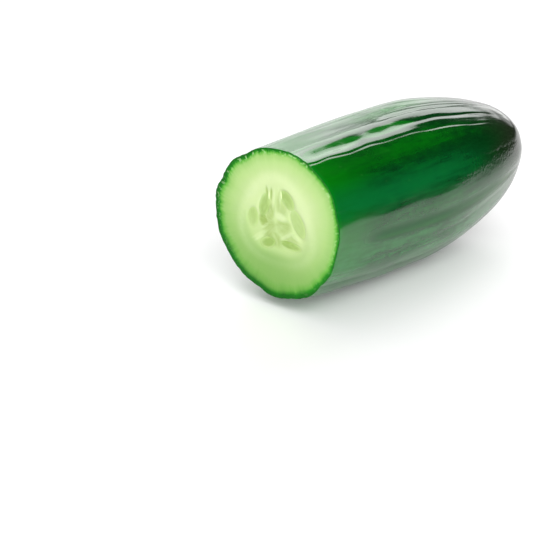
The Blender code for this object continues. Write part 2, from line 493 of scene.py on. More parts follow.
# %% How deep a point lies under the outline
def under_outline(standing):
    """The distance of each point to the outline, which is 0 on the outside."""
    flat = np.column_stack((np.hypot(standing[:, 0], standing[:, 1]), standing[:, 2]))
    line = KDTree(len(outline))
    for index, (radius, height) in enumerate(outline):
        line.insert((radius, height, 0.0), index)
    line.balance()
    return np.array([line.find((radius, height, 0.0))[2] for radius, height in flat])


standing = points_of(peel)
height = standing[:, 2]
angle = np.arctan2(standing[:, 1], standing[:, 0])
beneath = under_outline(standing)
print("peel", round(beneath.max() / MM, 2), "mm thick")

# %% [markdown]
# The skin changes round the body and along it: paler here, dull there, and in some zones light and
# shade are painted into its colour. While the form still stands upright, each such zone is a simple
# stripe, so it is worked out now and kept on the points, where the finish of the peel reads it.

# %% Stripes round the body
# Each stripe's middle and half width, in degrees
BRIGHT_STRIPES = ((131.0, 18.0), (10.0, 30.0), (-60.0, 22.0))
BLUE_STRIPES = ((157.0, 22.0), (60.0, 26.0), (-25.0, 18.0))
BELLY_STRIPE = (222.0, 66.0)
CROWN_STRIPE = (84.0, 32.0)
FLANK_STRIPE = (169.0, 14.0)
LOWEST_STRIPE = (230.0, 20.0)
SHINY_STRIPE = (230.0, 22.0)
TABLE_REFLECTION_STRIPE = (203.0, 42.0)
PIMPLY_STRIPE = (156.0, 22.0)
PIMPLY_BACK = (20.0, 30.0)
degrees = np.degrees(furrow_angle(angle, height))


def stripe(middle, half_width):
    """1 on a line along the body, softly 0 at half_width degrees beside it."""
    off = np.abs((degrees - middle + 180.0) % 360.0 - 180.0)
    return 1.0 - blend(0.0, half_width, off)


def between(starts, full, fades, ends):
    """1 over a stretch along the body, and softly 0 before and after it, in mm."""
    return blend(starts * MM, full * MM, height) * (1.0 - blend(fades * MM, ends * MM, height))


# %% What the peel keeps on its points
before_end = 1.0 - blend(74.0 * MM, 95.0 * MM, height)
before_far_half = 1.0 - blend(46.0 * MM, 78.0 * MM, height)
keep_on_points(
    peel,
    grown=standing,
    furrow=furrow_depth(angle, height) / (CALM_DEPTH * MM),
    cut_edge=(height < 1.5 * KNIFE_EDGE).astype(float),
    bright_side=sum(stripe(*row) for row in BRIGHT_STRIPES),
    blue_side=sum(stripe(*row) for row in BLUE_STRIPES),
    # partly the pale ground spot of the belly, partly painted light from the table
    belly=stripe(*BELLY_STRIPE) * before_end,
    # painted light: the crown is paler, as the light on the top of the body
    crown=stripe(*CROWN_STRIPE) * before_far_half,
    # painted shade: the lowest strip, next to the table, is darkened
    underneath=stripe(*LOWEST_STRIPE),
    # painted reflection: the far lower side is made pale grey, as the bright table mirrored there
    wax=stripe(*TABLE_REFLECTION_STRIPE) * blend(35.0 * MM, 85.0 * MM, height),
)

# %% The dark line, the dull zones and the pimples
# painted reflection: a dark line on the lower flank stands for the dark room mirrored by a furrow
DARK_LINE_AT = 181.5
DARK_LINE_DRIFT = 7.0 / (80.0 * MM)
DARK_LINE_WIDTH = 9.0

dark_line = stripe(DARK_LINE_AT + DARK_LINE_DRIFT * height, DARK_LINE_WIDTH)
dark_line = dark_line * between(6.0, 20.0, 66.0, 84.0)
dull = 0.14 * stripe(*BELLY_STRIPE) + 0.09 * stripe(*CROWN_STRIPE)
dull = dull + 0.08 * stripe(*FLANK_STRIPE) + 0.42 * dark_line
pimply = stripe(*PIMPLY_STRIPE) + 0.4 * stripe(*PIMPLY_BACK)
keep_on_points(
    peel,
    dark_line=dark_line,
    dull=dull * (1.0 - 0.8 * stripe(*SHINY_STRIPE)),
    pimply=pimply * between(38.0, 55.0, 78.0, 92.0),
)
move_points(peel, rest_on_table(laid_down(standing), beneath))
print("peel keeps", len(peel.data.attributes), "layers")

# %% [markdown]
# A grown skin is never as smooth as a turned one. Two Displace modifiers with cloud
# textures press shallow dents of different sizes into the outside. The middle level is 1,
# so they only press in, and the peel stays inside the measured solid's box. A vertex
# group keeps them off the knife edge, the inside and the spot that it lies on.

# %% Shallow dents
BROAD_DENT = 7.0 * MM
BROAD_DENT_DEPTH = 0.05 * MM
SMALL_DENT = 1.8 * MM
SMALL_DENT_DEPTH = 0.015 * MM


def press_dents(piece, name, size, depth, group=None):
    """Presses clouds of dents into a piece, or into one group of its points."""
    clouds = bpy.data.textures.new(name, "CLOUDS")
    clouds.noise_scale = size
    clouds.noise_depth = 1
    dents = piece.modifiers.new(name, "DISPLACE")
    dents.texture = clouds
    dents.texture_coords = "LOCAL"
    dents.strength = depth
    dents.mid_level = 1.0
    if group:
        dents.vertex_group = group
    bpy.ops.object.select_all(action="DESELECT")
    piece.select_set(True)
    bpy.context.view_layer.objects.active = piece
    bpy.ops.object.modifier_apply(modifier=name)


def group_points(piece, name, weights):
    """Makes a vertex group from one weight per point, in steps of a tenth."""
    group = piece.vertex_groups.new(name=name)
    steps = np.round(weights * 10.0).astype(int)
    for step in range(1, 11):
        group.add(np.flatnonzero(steps == step).tolist(), step / 10.0, "REPLACE")


on_outside = (beneath < 0.3 * PEEL_THICKNESS).astype(float)
above_table = blend(0.0, 1.0 * MM, points_of(peel)[:, 2])
off_edge = blend(0.2 * MM, 3.0 * MM, height)
group_points(peel, "outside", on_outside * above_table * off_edge)
press_dents(peel, "broad_dents", BROAD_DENT, BROAD_DENT_DEPTH, "outside")
press_dents(peel, "small_dents", SMALL_DENT, SMALL_DENT_DEPTH, "outside")
peel.data.shade_smooth()
print_triangles(peel)

# %% [markdown]
# ## The flesh
# The flesh fills the peel. Its cut face is flat, but its wet core is sunk a little, and
# each seed lies in a hollow. Boolean modifiers could cut the hollows, but their rims
# would be sharp. So the cut face is turned in fine rings, finest round the core, and its
# points are sunk by a formula. The flesh reaches a hair into the peel, so no gap shows.

# %% The core and the places of the seeds
CORE_RADIUS = 12.0 * MM
CORE_EDGE = 4.0 * MM
CORE_DEPTH = 0.24 * MM
CORE_LOBES = 0.08
SEED_DEPTH = 0.55 * MM
JELLY_RELIEF = 0.10 * MM
# Each seed's middle across and up from the centre, its length, its width, its turn, and
# how dark it shows, in millimetres and degrees
SEEDS = (
    (8.8, -0.1, 6.4, 4.2, 94, 0.62),
    (4.5, 4.5, 8.0, 3.8, 288, 0.95),
    (-3.8, 7.8, 6.6, 4.4, 50, 0.90),
    (-7.7, 1.6, 9.0, 4.8, 242, 0.50),
    (-5.1, -5.5, 7.6, 2.6, 2, 1.20),
    (3.2, -6.5, 5.6, 3.4, 160, 1.25),
)
# How far each seed's middle bows to one side, as a share of its half width
SEED_BOWS = (0.05, -0.16, -0.14, 0.12, 0.25, -0.12)

# %% The jelly and the threads of the core
# Places where the jelly of the core shows, given like the seeds
JELLY = (
    (4.8, -0.2, 5.0, 3.4, 60, 1.15),
    (2.6, -2.4, 7.6, 5.0, 110, 0.70),
    (-2.4, -0.4, 6.4, 5.0, 165, 0.70),
    (-4.9, -3.2, 6.6, 3.6, 10, 0.50),
    (2.4, 2.6, 7.4, 3.4, 100, 0.70),
    (-1.6, 5.4, 7.6, 4.4, 80, 0.50),
    (1.4, -4.4, 8.4, 4.6, 30, 0.75),
    (3.5, 8.5, 4.4, 1.0, 86, 0.80),
    (2.0, 8.2, 4.6, 0.9, 92, 0.90),
    (-0.9, 8.6, 3.8, 0.8, 92, 0.70),
    (-2.5, 8.7, 3.8, 0.9, 78, 0.90),
)
# Pale threads and veils of the core, given the same way
THREADS = (
    (-1.5, 2.2, 4.6, 2.6, 10, 0.80),
    (0.2, -1.8, 7.0, 2.0, 150, 0.20),
    (4.4, -1.8, 3.4, 1.1, 142, 0.40),
    (6.2, -5.6, 5.0, 1.2, 140, 0.50),
    (0.7, -4.6, 4.6, 1.4, 60, 0.25),
    (6.0, -4.7, 7.0, 1.4, 146, 0.45),
    (-3.9, -2.8, 6.5, 1.3, 147, 0.50),
    (-5.7, 3.3, 7.5, 1.1, 66, 0.55),
    (6.6, 3.6, 8.0, 1.8, 100, 0.35),
    (1.1, 7.4, 7.0, 1.0, 96, 0.60),
    (-1.0, 8.6, 6.0, 1.0, 84, 0.50),
    (-7.0, -2.6, 5.0, 1.4, 20, 0.45),
)


def patch(across, up, row):
    """1 in the middle of an oval patch on the cut, 0 well outside it."""
    middle_across, middle_up, length, width, turn = row[:5]
    lean = math.radians(turn)
    over_y = across - middle_across * MM
    over_z = up - middle_up * MM
    along = (over_y * math.cos(lean) + over_z * math.sin(lean)) / (0.5 * length * MM)
    beside = (over_z * math.cos(lean) - over_y * math.sin(lean)) / (0.5 * width * MM)
    return 1.0 - blend(0.45, 1.25, np.hypot(along, beside))


def strongest(across, up, rows):
    """The strongest of several patches, each with its own strength at its row's end."""
    return np.max([row[5] * patch(across, up, row) for row in rows], axis=0)


def core_edge(across, up):
    """The radius of the core, which has three lobes as its seed chambers do."""
    around = np.arctan2(up, across)
    return CORE_RADIUS * (1.0 + CORE_LOBES * np.cos(3.0 * (around - 0.5 * math.pi)))


# %% Turning the flesh
FLESH_UNDER_PEEL = PEEL_THICKNESS - 0.04 * MM
FLESH_BELOW_EDGE = 0.02 * MM
FLESH_RADIUS = CUT_RADIUS - FLESH_UNDER_PEEL

flesh_side = even_steps(moved_in(outline, FLESH_UNDER_PEEL), HIDDEN_STEP)
flesh_side[-1] = (FLESH_RADIUS, FLESH_BELOW_EDGE)
wide_rings = np.arange(FLESH_RADIUS - 0.3 * MM, 14.0 * MM, -0.35 * MM)
fine_rings = np.linspace(13.8 * MM, 0.0, 60)
cut_rings = np.append(wide_rings, fine_rings)
cut_line = np.column_stack((cut_rings, np.full(len(cut_rings), FLESH_BELOW_EDGE)))
flesh = turned("flesh", np.vstack((flesh_side, cut_line)))

# %% Sinking the core and the hollows
standing = points_of(flesh)
on_cut = standing[:, 2] < 1.5 * FLESH_BELOW_EDGE
flat_radius = np.hypot(standing[:, 0], standing[:, 1])
angle = np.arctan2(standing[:, 1], standing[:, 0])
places = laid_down(standing)
across = places[:, 1] - CUT_MIDDLE[1]
up = places[:, 2] - CUT_MIDDLE[2]
edge = core_edge(across, up)
in_core = 1.0 - blend(edge - CORE_EDGE, edge, np.hypot(across, up))
seeded = np.max([patch(across, up, row) for row in SEEDS], axis=0)
jelly = strongest(across, up, JELLY)
threads = strongest(across, up, THREADS)
uneven_core = JELLY_RELIEF * (jelly - threads) * (1.0 - seeded)
sunk = CORE_DEPTH * in_core + SEED_DEPTH * seeded + uneven_core
places[:, 0] += np.where(on_cut, sunk, 0.0)
print("deepest hollow", round(sunk[on_cut].max() / MM, 2), "mm")

# %% What the flesh keeps on its points
# The side of the cut where painted shade darkens the flesh, and the side where its green fringe is
# thin
SHADED_SIDE_AT = math.radians(-80.0)
THIN_SIDE_AT = math.radians(165.0)
RING_WIDTH = 2.6 * MM
RING_OUTSIDE_CORE = 1.06
RAY_STRETCH = 0.22

# The pattern of the rays hardly changes on the way in, so it draws them as lines
drawn_in = np.column_stack(
    (CUT_RADIUS * np.cos(angle), CUT_RADIUS * np.sin(angle), RAY_STRETCH * flat_radius)
)
off_ring = np.abs(np.hypot(across, up) - RING_OUTSIDE_CORE * edge)
ring = 1.0 - blend(0.0, RING_WIDTH, off_ring)
keep_on_points(
    flesh,
    grown=standing,
    drawn_in=drawn_in,
    under_peel=(CUT_RADIUS - flat_radius) / MM,
    # painted shade: how strongly the lower side of the cut is shaded
    thick_side=0.5 + 0.5 * np.cos(angle - SHADED_SIDE_AT),
    thin_side=(0.5 + 0.5 * np.cos(angle - THIN_SIDE_AT)) ** 2,
    in_core=in_core,
    jelly=np.maximum(jelly, strongest(across, up, SEEDS)),
    threads=np.maximum(threads, (0.30 + 0.20 * np.sin(angle)) * ring),
)
move_points(flesh, rest_on_table(places, under_outline(standing)))
flesh.data.shade_smooth()
print_triangles(flesh)

# %% [markdown]
# ## The seeds
# The knife went through the soft young seeds, and jelly covers them, so they show only
# as olive patches with soft borders. Paint could show them, but real rims catch the
# light. One seed is modelled: a ball narrowed to a tip at one end, cut flat on top, with
# the rim of the cut rounded. The six are its copies, each with its own mesh, pressed to
# its own length, width and bow, and laid in its hollow.

# %% One seed
# Past each place along the ball, its width is drawn in to a share
SEED_TAPER = ((0.25, 0.90), (0.50, 0.86), (0.75, 0.80))
SEED_CUT_AT = 0.45
# The rings that close the cut: how much each one shrinks and how far it rises
SEED_RINGS = ((0.94, 0.05), (0.85, 0.04), (0.76, 0.03), (0.7, 0.02), (0.6, 0.01), (0.5, 0.0))


def make_seed(name):
    """Models one seed as a unit ball with its tip towards +x and its cut towards +z."""
    bpy.ops.object.select_all(action="DESELECT")
    bpy.ops.mesh.primitive_uv_sphere_add(segments=40, ring_count=20, radius=1.0)
    seed = bpy.context.object
    seed.name = name
    for beyond, narrow in SEED_TAPER:
        start_edit(seed)
        bpy.ops.mesh.select_all(action="DESELECT")
        end_edit()
        for vert in seed.data.vertices:
            vert.select = vert.co.x > beyond
        bpy.ops.object.mode_set(mode="EDIT")
        bpy.ops.transform.resize(value=(1.0, narrow, 1.0))
        end_edit()
    start_edit(seed)
    bpy.ops.mesh.bisect(
        plane_co=(0.0, 0.0, SEED_CUT_AT),
        plane_no=(0.0, 0.0, 1.0),
        clear_outer=True,
        use_fill=True,
    )
    for share, rise in SEED_RINGS:
        bpy.ops.mesh.extrude_region_move(TRANSFORM_OT_translate={"value": (0.0, 0.0, rise)})
        bpy.ops.transform.resize(value=(share, share, 1.0))
    bpy.ops.mesh.merge(type="CENTER")
    end_edit()
    return seed


first_seed = make_seed("seed_pattern")
print("one seed", len(first_seed.data.vertices), "points")


# %% Laying a unit form on the cut face
def lay_on_cut(piece, half_sizes, turn, deep, middle_across, middle_up):
    """Gives a unit form its half sizes, turns it on the cut face and moves it to its
    place there, all in its mesh. Its +z side looks out of the cut."""
    lean = math.radians(turn)
    along = Vector((0.0, math.cos(lean), math.sin(lean))) * half_sizes[0]
    beside = Vector((0.0, math.sin(lean), -math.cos(lean))) * half_sizes[1]
    outwards = Vector((-1.0, 0.0, 0.0)) * half_sizes[2]
    centre = Vector(CUT_MIDDLE) + Vector((deep, middle_across * MM, middle_up * MM))
    turn_to = Matrix((along, beside, outwards)).transposed().to_4x4()
    piece.data.transform(Matrix.Translation(centre) @ turn_to)


# %% The six seeds in their hollows
SEED_THICK = 1.5 * MM
SEED_SINK = 0.16 * MM
SEED_FILLS = 0.56
JELLY_OVER_SEED = 0.85
PATTERN_STEP = 11.0 * MM

seeds = []
for number, (middle_across, middle_up, length, width, turn, dark) in enumerate(SEEDS, 1):
    seed = bpy.data.objects.new(f"seed_{number}", first_seed.data.copy())
    bpy.context.scene.collection.objects.link(seed)
    for vert in seed.data.vertices:
        vert.co.y += SEED_BOWS[number - 1] * (1.0 - vert.co.x**2)
    half = Vector((SEED_FILLS * length * MM, SEED_FILLS * width * MM, 0.5 * SEED_THICK))
    unit = points_of(seed)
    keep_on_points(seed, grown=unit * np.array(half) + number * PATTERN_STEP)
    # The kernel is darkest in the middle and towards the tip, and jelly covers some of it
    reach = np.hypot(unit[:, 0], unit[:, 1] * 1.15)
    to_tip = 0.8 + 0.2 * unit[:, 0]
    kernel = dark * to_tip * (0.20 + 0.80 * (1.0 - blend(0.50, 1.00, reach)))
    deep = CORE_DEPTH + SEED_SINK + SEED_CUT_AT * half.z
    lay_on_cut(seed, half, turn, deep, middle_across, middle_up)
    on_face = points_of(seed)[:, 1:] - np.array(CUT_MIDDLE[1:])
    over_it = JELLY_OVER_SEED * strongest(on_face[:, 0], on_face[:, 1], JELLY)
    keep_on_points(seed, kernel=np.maximum(kernel, over_it))
    seed.data.shade_smooth()
    seeds.append(seed)
bpy.data.objects.remove(first_seed, do_unlink=True)
print(len(seeds), "seeds")

# %% [markdown]
# Two torn slivers of seed coat stand a little out of the upper core and catch the light.
# Each is a ball drawn out into a pointed splinter, which has no open edge as a sheet has.

# %% Two slivers of seed coat
# Each sliver's middle across and up from the centre, its length and its turn
SLIVERS = ((2.8, 8.0, 3.0, 90), (-1.6, 8.9, 2.4, 82))
SLIVER_HALF = 0.24 * MM
SLIVER_SINK = 0.30 * MM
SLIVER_POINTED = 0.75

slivers = []
for number, (middle_across, middle_up, length, turn) in enumerate(SLIVERS, 1):
    bpy.ops.object.select_all(action="DESELECT")
    bpy.ops.mesh.primitive_uv_sphere_add(segments=16, ring_count=12, radius=1.0)
    sliver = bpy.context.object
    sliver.name = f"seed_coat_{number}"
    for vert in sliver.data.vertices:
        vert.co.y *= 1.0 - SLIVER_POINTED * abs(vert.co.x)
    half = (0.5 * length * MM, SLIVER_HALF, SLIVER_HALF)
    lay_on_cut(sliver, half, turn, SLIVER_SINK, middle_across, middle_up)
    sliver.data.shade_smooth()
    slivers.append(sliver)
print(len(slivers), "slivers")

# %% [markdown]
# ## The scar of the stalk
# The stalk leaves a small dry scar in the dimple of the far end. It is turned too, a low
# button with a rolled edge and a sunk middle. Its rim is then made uneven, and a fine
# cloud texture roughens it, because cork breaks and never looks turned.

# %% The stalk scar
SCAR_RADIUS = 3.0 * MM
SCAR_COLUMNS = 96
SCAR_UNEVEN = 0.22
CORK_GRAIN = 0.5 * MM
CORK_DEPTH = 0.18 * MM

scar_floor = LENGTH - DIMPLE_DEPTH
scar_profile = [
    (0.0, scar_floor - 0.8 * MM),
    (SCAR_RADIUS, scar_floor - 0.8 * MM),
    (SCAR_RADIUS, scar_floor + 0.25 * MM),
    (0.93 * SCAR_RADIUS, scar_floor + 0.50 * MM),
    (0.80 * SCAR_RADIUS, scar_floor + 0.58 * MM),
    (0.66 * SCAR_RADIUS, scar_floor + 0.48 * MM),
    (0.45 * SCAR_RADIUS, scar_floor + 0.34 * MM),
    (0.25 * SCAR_RADIUS, scar_floor + 0.38 * MM),
    (0.0, scar_floor + 0.30 * MM),
]
scar = turned("stalk_scar", even_steps(np.array(scar_profile), 0.2 * MM), SCAR_COLUMNS)
standing = points_of(scar)
around_it = np.arctan2(standing[:, 1], standing[:, 0])
uneven_rim = uneven(around_it, np.zeros(len(standing)), 1.6, 0.0, 3.0)
standing[:, :2] *= 1.0 + SCAR_UNEVEN * uneven_rim[:, None]
keep_on_points(scar, grown=standing)
move_points(scar, laid_down(standing))
press_dents(scar, "cork", CORK_GRAIN, CORK_DEPTH)
scar.data.shade_smooth()
print_triangles(scar)

# %% [markdown]
# ## Tools for finishes
# A finish is a tree of small nodes. To write it as sums, a Wire wraps the output of a
# node, and adding or multiplying Wires adds Math nodes. Colours go through Mix nodes.
# The tree could be drawn by hand, but a sum on one line is easier to read.

# %% Wires
class Wire:
    """The output of a node, which can be used in sums like a number."""

    def __init__(self, finish, socket):
        self.finish = finish
        self.socket = socket

    def math(self, operation, first, second):
        return self.finish.node("ShaderNodeMath", {"operation": operation}, {0: first, 1: second})

    def __add__(self, other):
        return self.math("ADD", self, other)

    def __radd__(self, other):
        return self.math("ADD", other, self)

    def __sub__(self, other):
        return self.math("SUBTRACT", self, other)

    def __rsub__(self, other):
        return self.math("SUBTRACT", other, self)

    def __mul__(self, other):
        return self.math("MULTIPLY", self, other)

    def __rmul__(self, other):
        return self.math("MULTIPLY", other, self)

    def blend(self, low, high):
        """Goes smoothly from 0 at low to 1 at high."""
        settings = {"interpolation_type": "SMOOTHSTEP"}
        return self.finish.node("ShaderNodeMapRange", settings, {0: self, 1: low, 2: high})


# %% Finishes
class Finish:
    """A material under construction."""

    def __init__(self, name):
        self.material = bpy.data.materials.new(name)
        self.material.use_nodes = True
        self.tree = self.material.node_tree
        self.shader = self.tree.nodes["Principled BSDF"]

    def node(self, kind, settings, inputs, output=0):
        """Adds a node: first its settings, then the values or links of its sockets."""
        added = self.tree.nodes.new(kind)
        for name, value in settings.items():
            if name == "stops":
                ramp = added.color_ramp
                while len(ramp.elements) < len(value):
                    ramp.elements.new(0.5)
                for element, (place, colour) in zip(ramp.elements, value):
                    element.position = place
                    element.color = (*colour, 1.0)
            else:
                setattr(added, name, value)
        for name, value in inputs.items():
            self.set(added.inputs[name], value)
        return Wire(self, added.outputs[output])

    def set(self, socket, value):
        if isinstance(value, Wire):
            self.tree.links.new(value.socket, socket)
        else:
            socket.default_value = value

    def stored(self, name, output="Fac"):
        """Reads what a mesh keeps on its points."""
        return self.node("ShaderNodeAttribute", {"attribute_name": name}, {}, output)

    def stretched(self, vector, by):
        return self.node("ShaderNodeVectorMath", {"operation": "MULTIPLY"}, {0: vector, 1: by})

    def noise(self, vector, size, detail=2.0):
        """Soft noise with patches of about the given size."""
        inputs = {"Vector": vector, "Scale": 1.0 / size, "Detail": detail}
        return self.node("ShaderNodeTexNoise", {}, inputs)

    def mix(self, share, first, second):
        """Goes from the first colour to the second as the share goes from 0 to 1."""
        first = first if isinstance(first, Wire) else (*first, 1.0)
        second = second if isinstance(second, Wire) else (*second, 1.0)
        return self.node("ShaderNodeMix", {"data_type": "RGBA"}, {0: share, 6: first, 7: second}, 2)

    def ramp(self, value, stops):
        return self.node("ShaderNodeValToRGB", {"stops": stops}, {0: value})

    def bump(self, height, distance):
        inputs = {"Height": height, "Distance": distance, "Strength": 1.0}
        return self.node("ShaderNodeBump", {}, inputs)

    def wear(self, pieces, **sockets):
        """Sets the shader's sockets, whose names are written with underscores, and
        gives the finish to the pieces."""
        for name, value in sockets.items():
            if isinstance(value, tuple) and len(value) == 3 and "Color" in name:
                value = (*value, 1.0)
            self.set(self.shader.inputs[name.replace("_", " ")], value)
        for piece in pieces:
            piece.data.materials.append(self.material)
        print(self.material.name, len(self.tree.nodes), "nodes")


# %% [markdown]
# ## The finish of the peel
# The peel is dark green, with lighter streaks along its length, a bluish bloom on parts of
# the flank, and brighter green where the cut lets light in. One picture wrapped round it
# would show a seam, so each layer is noise on the place where the skin grew, drawn out
# along the length. The layers are mixed one over another.

# %% Colours of the peel
DEEP_GREEN = (0.0003, 0.036, 0.005)
RIB_GREEN = (0.0004, 0.120, 0.003)
NEAR_CUT_GREEN = (0.0006, 0.200, 0.002)
BLUE_GREEN = (0.002, 0.150, 0.034)
# Painted light on the top of the body
CROWN_GREEN = (0.030, 0.270, 0.040)
# Partly the pale ground spot, partly painted light from the table
BELLY_GREEN = (0.038, 0.240, 0.062)
# Painted shade in the narrow furrows
FURROW_GREEN = (0.0004, 0.040, 0.005)
DEEP_FURROW_GREEN = (0.001, 0.170, 0.006)
# Painted reflection of the dark room along the lower flank
DARK_LINE_GREEN = (0.002, 0.090, 0.014)
TIP_BROWN = (0.019, 0.027, 0.013)
# Painted reflection of the bright table on the far lower side
TABLE_REFLECTION_GREY = (0.300, 0.345, 0.290)
# Painted shade on the lowest strip
LOWEST_GREEN = (0.001, 0.090, 0.010)
LIT_EDGE_GREEN = (0.001, 0.200, 0.008)
FLECK_GREEN = (0.06, 0.26, 0.06)
RIM_DARK = (0.001, 0.095, 0.001)
RIM_BRIGHT = (0.012, 0.260, 0.008)

# %% What the peel's finish reads
skin = Finish("peel_skin")
grown = skin.stored("grown", "Vector")
furrow = skin.stored("furrow")
cut_edge = skin.stored("cut_edge")
bright_side = skin.stored("bright_side")
blue_side = skin.stored("blue_side")
belly = skin.stored("belly")
crown = skin.stored("crown")
wax = skin.stored("wax")
underneath = skin.stored("underneath")
dark_line = skin.stored("dark_line")
dull = skin.stored("dull")
pimply = skin.stored("pimply")
from_cut = skin.node("ShaderNodeSeparateXYZ", {}, {0: grown}, 2)

# %% Its ground colour
drawn_out = skin.stretched(grown, (1.0, 1.0, 0.16))
broad = skin.noise(drawn_out, 7.0 * MM)
streaks = skin.noise(drawn_out, 1.1 * MM, 3.0)
mottle = skin.noise(grown, 2.4 * MM, 3.0)
far_dark = (from_cut + broad * (20.0 * MM)).blend(54.0 * MM, 86.0 * MM)
mottled = broad * 1.2 + streaks * 0.5 + mottle * 0.4 + bright_side * 0.25
light = (mottled - far_dark * 0.25 - 0.70).blend(0.20, 0.85)
green = skin.mix(light, DEEP_GREEN, RIB_GREEN)
near_cut = 1.0 - (from_cut + mottle * (14.0 * MM)).blend(6.0 * MM, 30.0 * MM)
green = skin.mix(near_cut * 0.65, green, NEAR_CUT_GREEN)
bloom = blue_side * (broad + streaks * 0.5).blend(0.40, 0.90) * (1.0 - far_dark)
green = skin.mix(bloom * 0.75, green, BLUE_GREEN)

# %% [markdown]
# Over the ground colour come pale patches on the crown, which are painted light on the top, and on
# the belly, which are partly its pale ground spot and partly painted light from the table. Then
# come the furrows: a narrow one is darkened as painted shade, and the bottom of a deep one is
# bright. A dark line on the lower flank is a painted reflection of the dark room. Towards the stalk
# end the colour goes dark brown, except on the belly. The far lower side is painted pale grey as a
# reflection of the bright table, and the lowest strip is darkened as painted shade.

# %% Patches, furrows, the tip, and painted light and shade
patches = (broad * 0.9 + mottle * 0.4).blend(0.40, 0.95)
# painted light: pale patches on the crown stand for the light on the top
green = skin.mix(crown * (0.05 + patches * 0.9), green, CROWN_GREEN)
patches = (broad * 0.6 + streaks * 0.5 + mottle * 0.4).blend(0.45, 1.00)
# partly the pale ground spot of the belly, partly painted light from the table
green = skin.mix(belly * (0.15 + patches), green, BELLY_GREEN)
# painted shade: the narrow furrows are darkened
in_furrow = furrow.blend(0.2, 1.2) * (1.0 - furrow.blend(1.4, 2.2))
green = skin.mix(in_furrow * 0.45, green, FURROW_GREEN)
green = skin.mix(furrow.blend(1.4, 2.4) * 0.8, green, DEEP_FURROW_GREEN)
# painted reflection of the dark room along the dark line
green = skin.mix(dark_line * (0.6 + broad * 0.8), green, DARK_LINE_GREEN)
tip = (from_cut + broad * (12.0 * MM)).blend(68.0 * MM, 96.0 * MM)
green = skin.mix(tip * (1.0 - belly * 0.7), green, TIP_BROWN)
# painted reflection: the far lower side is made pale grey, as the bright table mirrored there
green = skin.mix(wax * (0.30 + broad * 0.7), green, TABLE_REFLECTION_GREY)
# painted shade: the lowest strip is darkened
green = skin.mix(underneath * 0.75, green, LOWEST_GREEN)

# %% The edge by the cut, and pale flecks
FLECK_STEP = 3.0 * MM

lit_edge = 1.0 - (from_cut + mottle * (0.8 * MM)).blend(0.7 * MM, 2.2 * MM)
green = skin.mix(lit_edge * 0.70, green, LIT_EDGE_GREEN)
fleck_places = skin.stretched(grown, (1.0, 1.0, 0.6))
fleck_inputs = {"Vector": fleck_places, "Scale": 1.0 / FLECK_STEP}
fleck_size = skin.node("ShaderNodeTexVoronoi", {}, fleck_inputs)
flecks = (1.0 - fleck_size.blend(0.06, 0.16)) * mottle.blend(0.45, 0.60)
green = skin.mix(flecks * 0.10, green, FLECK_GREEN)
rim_wave = skin.noise(grown, 0.9 * MM, 2.0)
rim_green = skin.mix(rim_wave.blend(0.35, 0.7), RIM_DARK, RIM_BRIGHT)
colour = skin.mix(cut_edge, green, rim_green)

# %% [markdown]
# The wax makes the skin glossy, so it mirrors its room almost sharply. The zones that are
# kept as dull blur it a little. The last unevenness is finer than the mesh, and a bump
# of about a tenth of a millimetre gives it: a grain all over, and pimples, which break up
# the edge of the mirrored room on the far half. The edge of the cut isn't glossy.

# %% Gloss and grain
GRAIN_DEPTH = 0.02 * MM

grain = skin.noise(skin.stretched(grown, (1.0, 1.0, 1.6)), 0.7 * MM, 3.0)
pimples = skin.noise(skin.stretched(grown, (1.0, 1.0, 1.4)), 1.1 * MM, 2.0)
uneven_skin = grain * (0.5 + belly * 2.0 + crown * 1.0)
uneven_skin = uneven_skin + pimples * pimply * 7.0 + flecks * 0.3
skin.wear(
    [peel],
    Base_Color=colour,
    Roughness=0.08 + mottle * 0.08 + dull + cut_edge * 0.8,
    Normal=skin.bump(uneven_skin, GRAIN_DEPTH),
    IOR=1.5,
    Specular_IOR_Level=0.8,
)

# %% [markdown]
# ## The finish of the flesh
# Under the peel the flesh is bright green and ragged, and it pales inwards to a ring
# round the core. The jelly in the core is clearer and a little darker, and pale threads
# cross it. A ramp from the peel inwards gives the greens, and noise drawn out along the
# radius makes its steps ragged, as fibres do. A little light goes through the flesh,
# which the shader's subsurface weight stands for.

# %% Colours of the flesh
# Each step of the green, and how far under the peel it lies, in centimetres
FLESH_GREENS = [
    (0.02, (0.001, 0.150, 0.001)),
    (0.08, (0.012, 0.290, 0.005)),
    (0.13, (0.160, 0.540, 0.060)),
    (0.21, (0.400, 0.690, 0.200)),
    (0.38, (0.530, 0.775, 0.278)),
    (0.70, (0.640, 0.830, 0.370)),
    (0.95, (0.730, 0.890, 0.450)),
]
TORN_PALE = (0.620, 0.880, 0.420)
# Painted shade on the lower side of the cut
LOW_SHADE_GREEN = (0.210, 0.440, 0.090)
CORE_PALE = (0.640, 0.820, 0.350)
JELLY_OLIVE = (0.400, 0.570, 0.150)
THREAD_PALE = (0.800, 0.950, 0.530)

# %% What the flesh's finish reads
flesh_finish = Finish("flesh")
grown = flesh_finish.stored("grown", "Vector")
under_peel = flesh_finish.stored("under_peel")
in_core = flesh_finish.stored("in_core")
jelly = flesh_finish.stored("jelly")
threads = flesh_finish.stored("threads")
thick_side = flesh_finish.stored("thick_side")
thin_side = flesh_finish.stored("thin_side")
drawn_in = flesh_finish.stored("drawn_in", "Vector")

# %% From the peel to the core
rays = flesh_finish.noise(drawn_in, 0.8 * MM, 2.0)
waves = flesh_finish.noise(drawn_in, 3.5 * MM, 1.0)
cloud = flesh_finish.noise(grown, 5.0 * MM, 2.0)
fine = flesh_finish.noise(grown, 1.1 * MM, 3.0)
ragged = (rays - 0.5) * (1.4 - thin_side * 0.8) + (waves - 0.5) * 1.5
